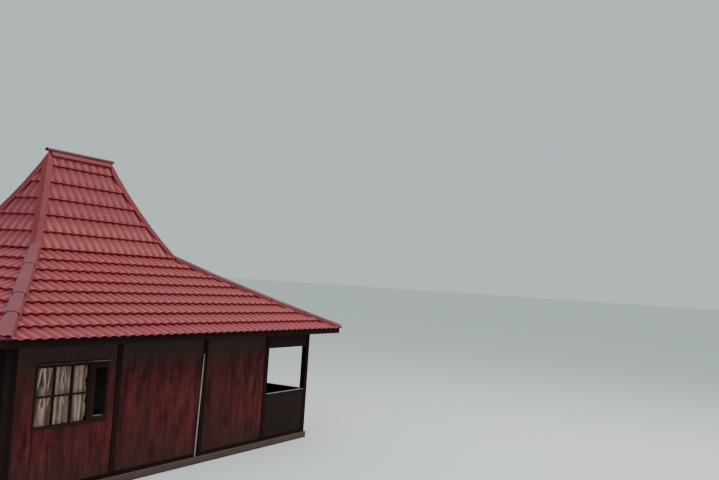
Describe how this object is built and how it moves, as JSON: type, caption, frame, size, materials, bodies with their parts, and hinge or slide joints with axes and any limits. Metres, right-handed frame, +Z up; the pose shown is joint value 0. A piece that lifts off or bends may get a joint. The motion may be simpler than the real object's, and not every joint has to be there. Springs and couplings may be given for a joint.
{
  "type": "joglo timber cottage",
  "caption": "Small timber house under a two-pitch hipped roof of pressed metal tiles, with board walls, a sash window to each long side and an open veranda at one end.",
  "frame": {"origin": "on the ground, below the middle of the roof", "axes": "+X along the front wall towards the veranda end, +Y from the front wall to the back wall, +Z up"},
  "size_m": [8.55, 6.989, 5.3558],
  "materials": {
    "concrete": "rough grey screed, damp and stained at its edge",
    "dark_timber": "nearly black brown stain, weathered along the grain",
    "red_boards": "dark red stain, streaked and worn grey-brown towards the top",
    "brown_boards": "dark grey-brown stain, dull and weathered",
    "pane_glass": "clear window glass with a little dust",
    "curtain_cloth": "thin cream curtain in gathers",
    "red_metal_tiles": "brick rose paint on pressed steel, faded, with dust lines under the steps",
    "rose_metal_caps": "duller rose mauve paint on folded steel",
    "white_plastic": "white conduit, lightly soiled"
  },
  "bodies": {
    "root": {"foundation_slab": "concrete", "sill_beams": "dark_timber", "front_post_1": "dark_timber", "front_post_2": "dark_timber", "front_post_3": "dark_timber", "front_post_4": "dark_timber", "front_post_5": "dark_timber", "back_post_1": "dark_timber", "back_post_2": "dark_timber", "back_post_3": "dark_timber", "back_post_4": "dark_timber", "back_post_5": "dark_timber", "left_post_1": "dark_timber", "left_post_2": "dark_timber", "veranda_post_1": "dark_timber", "veranda_post_2": "dark_timber", "wall_plate": "dark_timber", "front_wall_window_bay": "red_boards", "front_wall_middle_bay": "red_boards", "front_wall_inner_bay": "red_boards", "back_wall_window_bay": "red_boards", "back_wall_middle_bay": "red_boards", "back_wall_inner_bay": "red_boards", "left_wall_bay_1": "dark_timber", "left_wall_bay_2": "dark_timber", "left_wall_bay_3": "dark_timber", "partition_boards": "red_boards", "door_frame": "dark_timber", "front_parapet": "brown_boards", "back_parapet": "brown_boards", "end_parapet_front": "brown_boards", "end_parapet_back": "brown_boards", "front_header_board": "brown_boards", "back_header_board": "brown_boards", "end_header_board_1": "brown_boards", "end_header_board_2": "brown_boards", "end_header_board_3": "brown_boards", "front_window_frame": "dark_timber", "front_window_glass": "pane_glass", "front_window_curtain": "curtain_cloth", "back_window_frame": "dark_timber", "back_window_glass": "pane_glass", "back_window_curtain": "curtain_cloth", "lower_roof_front": "red_metal_tiles", "upper_roof_front": "red_metal_tiles", "lower_roof_right": "red_metal_tiles", "upper_roof_right": "red_metal_tiles", "lower_roof_back": "red_metal_tiles", "upper_roof_back": "red_metal_tiles", "lower_roof_left": "red_metal_tiles", "upper_roof_left": "red_metal_tiles", "fascia_board": "dark_timber", "ridge_cap": "rose_metal_caps", "hip_cap_front_left": "rose_metal_caps", "hip_cap_front_right": "rose_metal_caps", "hip_cap_back_left": "rose_metal_caps", "hip_cap_back_right": "rose_metal_caps", "wall_conduit": "white_plastic"}
  },
  "joints": []
}
